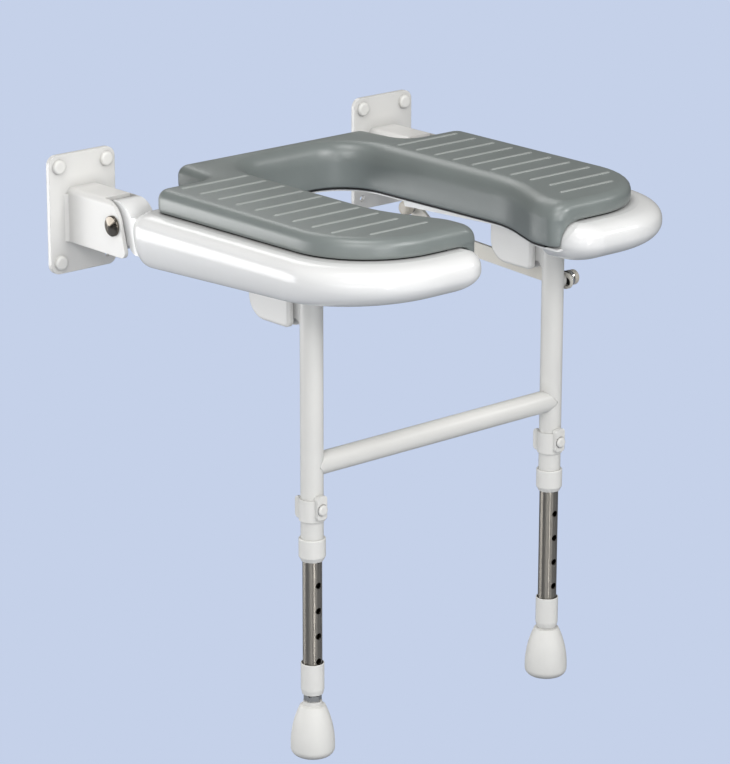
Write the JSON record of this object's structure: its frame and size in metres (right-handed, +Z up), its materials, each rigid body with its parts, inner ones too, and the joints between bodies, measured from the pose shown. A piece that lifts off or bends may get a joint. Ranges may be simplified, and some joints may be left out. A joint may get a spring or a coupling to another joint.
{
  "type": "fold down wall seat",
  "caption": "Wall-mounted folding seat with a horseshoe pad, two hinge brackets and telescopic front legs that fold with it.",
  "frame": {"origin": "in the wall plane, midway between the two brackets, at the height of the centre of their hole patterns", "axes": "+Y into the wall, -Y towards the front of the seat, +X to the right when facing the wall, +Z up"},
  "size_m": [0.475, 0.449, 0.554],
  "materials": {
    "bracket_coat": "semi-gloss white powder coat",
    "tube_coat": "semi-gloss white powder coat",
    "cap_plastic": "smooth white",
    "washer_plastic": "smooth",
    "pin_steel": "polished dark",
    "clip_steel": "plain",
    "bush_plastic": "plain",
    "base_plastic": "high gloss white",
    "board_dark": "plain",
    "pad_foam": "moulded soft skin, satin",
    "screw_steel": "bright zinc",
    "housing_plastic": "smooth white",
    "stainless": "polished stainless",
    "collar_plastic": "white",
    "clip_plastic": "white",
    "hex_steel": "zinc",
    "foot_rubber": "matt white rubber",
    "sleeve_plastic": "white",
    "ring_rubber": "black",
    "link_coat": "white powder coat",
    "washer_dark": "black",
    "washer_grey": "grey",
    "ring_chrome": "chrome",
    "knob_plastic": "off-white"
  },
  "bodies": {
    "wall_frame": {"wall_bracket_left": "bracket_coat", "wall_bracket_right": "bracket_coat", "cap_washers": "washer_plastic", "cover_caps": "cap_plastic", "hinge_pin_left": "pin_steel", "hinge_pin_right": "pin_steel", "hinge_clip_left": "clip_steel", "hinge_clip_right": "clip_steel", "link_bolt_wall": "screw_steel", "link_spacer_wall": "washer_grey", "link_nut_wall": "screw_steel", "link_cap_wall": "knob_plastic"},
    "seat": {"seat_base": "base_plastic", "pad_board": "board_dark", "pad_seal": "board_dark", "seat_pad": "pad_foam", "pad_screws": "screw_steel", "hinge_bushes_left": "bush_plastic", "hinge_bushes_right": "bush_plastic", "leg_housing_left": "housing_plastic", "leg_housing_right": "housing_plastic", "housing_screws": "screw_steel", "leg_pivot_pin_left": "screw_steel", "leg_pivot_pin_right": "screw_steel"},
    "leg_frame": {"leg_tube_left": "tube_coat", "leg_tube_right": "tube_coat", "leg_lug_left": "tube_coat", "leg_lug_right": "tube_coat", "cross_bar": "tube_coat", "leg_collar_left": "collar_plastic", "leg_collar_right": "collar_plastic", "clip_band_left": "clip_plastic", "clip_band_right": "clip_plastic", "link_stud_leg": "tube_coat", "link_washer_leg": "washer_dark", "link_spacer_leg": "washer_grey", "link_ring_leg": "ring_chrome", "link_cap_leg": "knob_plastic"},
    "stay_link": {"stay_link": "link_coat"},
    "lock_pin_left": {"lock_pin_left": "clip_plastic"},
    "inner_leg_left": {"inner_leg_left": "stainless", "leg_insert_left": "hex_steel"},
    "foot_sleeve_left": {"foot_sleeve_left": "sleeve_plastic", "sleeve_ring_left": "ring_rubber"},
    "foot_nut_left": {"foot_hex_left": "hex_steel"},
    "foot_left": {"foot_stud_left": "screw_steel", "foot_left": "foot_rubber"},
    "lock_pin_right": {"lock_pin_right": "clip_plastic"},
    "inner_leg_right": {"inner_leg_right": "stainless", "leg_insert_right": "hex_steel"},
    "foot_sleeve_right": {"foot_sleeve_right": "sleeve_plastic", "sleeve_ring_right": "ring_rubber"},
    "foot_nut_right": {"foot_hex_right": "hex_steel"},
    "foot_right": {"foot_stud_right": "screw_steel", "foot_right": "foot_rubber"}
  },
  "joints": [
    {"name": "seat_fold", "type": "hinge", "parent": "wall_frame", "child": "seat", "pos_m": [0, -0.079, 0.002], "axis": [-1, 0, 0], "range_deg": [0, 90]},
    {"name": "leg_fold", "type": "hinge", "parent": "seat", "child": "leg_frame", "pos_m": [0, -0.266, -0.046], "axis": [-1, 0, 0], "range_deg": [-90, 0]},
    {"name": "link_swing", "type": "hinge", "parent": "wall_frame", "child": "stay_link", "pos_m": [0.172, -0.082, -0.0425], "axis": [-1, 0, 0], "range_deg": [0, 75.24]},
    {"name": "height_lock_left", "type": "slide", "parent": "leg_frame", "child": "lock_pin_left", "axis": [0, -1, 0], "range_m": [-0.0024, 0.003]},
    {"name": "leg_height_left", "type": "slide", "parent": "leg_frame", "child": "inner_leg_left", "axis": [0, 0, 1], "range_m": [-0.052, 0.078]},
    {"name": "sleeve_slide_left", "type": "slide", "parent": "inner_leg_left", "child": "foot_sleeve_left", "axis": [0, 0, 1], "range_m": [-0.0105, 0.02]},
    {"name": "foot_lift_left", "type": "slide", "parent": "inner_leg_left", "child": "foot_nut_left", "axis": [0, 0, -1], "range_m": [0, 0.012]},
    {"name": "foot_turn_left", "type": "hinge", "parent": "foot_nut_left", "child": "foot_left", "pos_m": [-0.1575, -0.306, -0.45], "axis": [0, 0, -1], "range_deg": [0, 2880]},
    {"name": "height_lock_right", "type": "slide", "parent": "leg_frame", "child": "lock_pin_right", "axis": [0, -1, 0], "range_m": [-0.0024, 0.003]},
    {"name": "leg_height_right", "type": "slide", "parent": "leg_frame", "child": "inner_leg_right", "axis": [0, 0, 1], "range_m": [-0.052, 0.078]},
    {"name": "sleeve_slide_right", "type": "slide", "parent": "inner_leg_right", "child": "foot_sleeve_right", "axis": [0, 0, 1], "range_m": [0, 0.03]},
    {"name": "foot_lift_right", "type": "slide", "parent": "inner_leg_right", "child": "foot_nut_right", "axis": [0, 0, -1], "range_m": [0, 0.012]},
    {"name": "foot_turn_right", "type": "hinge", "parent": "foot_nut_right", "child": "foot_right", "pos_m": [0.1575, -0.306, -0.45], "axis": [0, 0, -1], "range_deg": [0, 2880]}
  ],
  "couplings": [
    {"joint": "leg_fold", "follows": "seat_fold", "ratio": -1},
    {"joint": "link_swing", "follows": "seat_fold", "ratio": 0.836},
    {"joint": "foot_lift_left", "follows": "foot_turn_left", "m_per_rad": 0.00023873},
    {"joint": "foot_lift_right", "follows": "foot_turn_right", "m_per_rad": 0.00023873}
  ]
}
